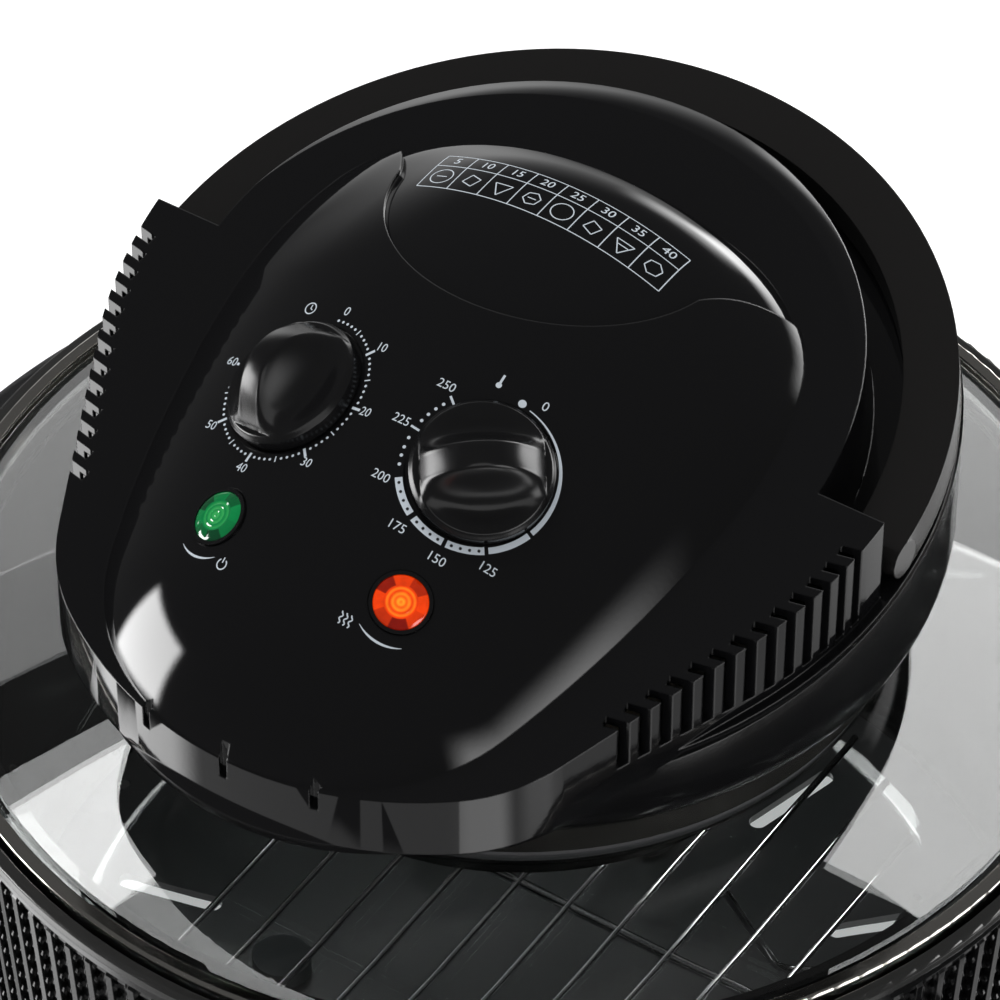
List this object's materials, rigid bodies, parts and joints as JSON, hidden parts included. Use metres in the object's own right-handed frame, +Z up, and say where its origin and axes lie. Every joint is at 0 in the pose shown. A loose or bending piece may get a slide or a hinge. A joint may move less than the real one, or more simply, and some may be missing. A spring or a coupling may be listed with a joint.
{
  "type": "halogen oven",
  "caption": "Countertop halogen oven: glass bowl in a ribbed tub, glass lid on a rear hinge, and a tilted control head with dials, lamps, a folding handle, a ring heater and a fan.",
  "frame": {"origin": "middle of the footprint's bounding box, on the table", "axes": "+Z up, front (controls' low end) at -Y, hinge at +Y, +X to the right seen from the front"},
  "size_m": [0.406, 0.3638, 0.3199],
  "materials": {
    "cover": "polished black moulding",
    "skirt": "black moulding, satin to gloss",
    "tub": "black moulding with a ribbed gloss outside",
    "trim": "dark grey gloss ring",
    "knob": "deep black gloss",
    "handle": "black gloss with soft edges",
    "grip": "black, fine matt grain",
    "clear_glass": "clear toughened glass",
    "quartz": "clear quartz tube",
    "green_lens": "green faceted lens",
    "amber_lens": "amber faceted lens",
    "bezel": "black gloss ring",
    "band_steel": "bright rolled stainless band",
    "collar_steel": "satin stainless sheet",
    "wire": "bright plated wire",
    "guard_wire": "bright perforated steel",
    "bright_aluminium": "bright rolled sheet",
    "zinc_steel": "zinc plated steel",
    "motor_steel": "grey lacquered laminations",
    "ceramic": null,
    "wool": "pressed mineral wool",
    "silicone": "grey silicone",
    "foot_rubber": "black rubber",
    "works": "dark phenolic case",
    "terminal": "cream nylon block",
    "neon_glass": "small neon tube"
  },
  "bodies": {
    "base": {"base_shell": "tub", "base_trim_ring": "trim", "bowl_seat_gasket": "silicone", "side_handle_right": "grip", "side_handle_left": "grip", "hinge_bracket": "zinc_steel", "hinge_pin": "zinc_steel", "lattice_sleeve": "tub", "base_floor": "works", "bowl_pads": "silicone", "rubber_feet": "foot_rubber", "floor_screws": "zinc_steel", "glass_bowl": "clear_glass", "wire_rack": "wire"},
    "lid": {"lid_glass": "clear_glass", "lid_rim_band": "band_steel", "hinge_leaf": "zinc_steel", "collar_gasket": "silicone", "steel_collar": "collar_steel", "reflector_gasket": "silicone", "reflector": "bright_aluminium", "insulation_disc": "wool", "halogen_tube": "quartz", "tube_sockets": "ceramic", "tube_clips": "zinc_steel", "tube_leads": "silicone", "heater_guard": "guard_wire", "upper_cover": "cover", "lower_skirt": "skirt", "cord_gland": "works", "clamp_screws": "zinc_steel", "cover_screws": "zinc_steel", "motor_bracket": "zinc_steel", "bracket_screws": "zinc_steel", "fan_motor": "motor_steel", "terminal_block": "terminal", "timer": "works", "thermostat": "works", "power_lens": "green_lens", "heat_lens": "amber_lens", "lamp_bezels": "bezel", "lamp_holders": "works", "neon_lamps": "neon_glass", "pivot_pins": "zinc_steel", "safety_switch": "works"},
    "handle": {"carry_handle": "handle"},
    "timer_dial": {"timer_shaft": "zinc_steel", "time_knob": "knob"},
    "thermostat_dial": {"thermostat_shaft": "zinc_steel", "temperature_knob": "knob"},
    "fans": {"fan_shaft": "zinc_steel", "cooling_fan": "bright_aluminium", "convection_fan": "bright_aluminium"},
    "plunger": {"switch_plunger": "works"}
  },
  "joints": [
    {"name": "lid_hinge", "type": "hinge", "parent": "base", "child": "lid", "pos_m": [0, 0.17645, 0.184], "axis": [-1, 0, 0], "range_deg": [0, 85]},
    {"name": "handle_fold", "type": "hinge", "parent": "lid", "child": "handle", "pos_m": [0, -0.00421, 0.25882], "axis": [1, 0, 0], "range_deg": [0, 80]},
    {"name": "time_knob_turn", "type": "hinge", "parent": "lid", "child": "timer_dial", "pos_m": [-0.03, -0.07215, 0.29681], "axis": [0.3105, 0.3781, -0.8721], "range_deg": [0, 275]},
    {"name": "temperature_knob_turn", "type": "hinge", "parent": "lid", "child": "thermostat_dial", "pos_m": [0.03, -0.07215, 0.29681], "axis": [-0.3105, 0.3781, -0.8721], "range_deg": [-237, 72]},
    {"name": "fan_spin", "type": "hinge", "parent": "lid", "child": "fans", "pos_m": [0, -0.00755, 0.2], "axis": [0, 0, 1], "continuous": true},
    {"name": "switch_plunger_slide", "type": "slide", "parent": "lid", "child": "plunger", "axis": [0, -0.1959, 0.9806], "range_m": [0, 0.002]}
  ],
  "couplings": [
    {"joint": "switch_plunger_slide", "follows": "handle_fold", "m_per_rad": 0.001432}
  ]
}
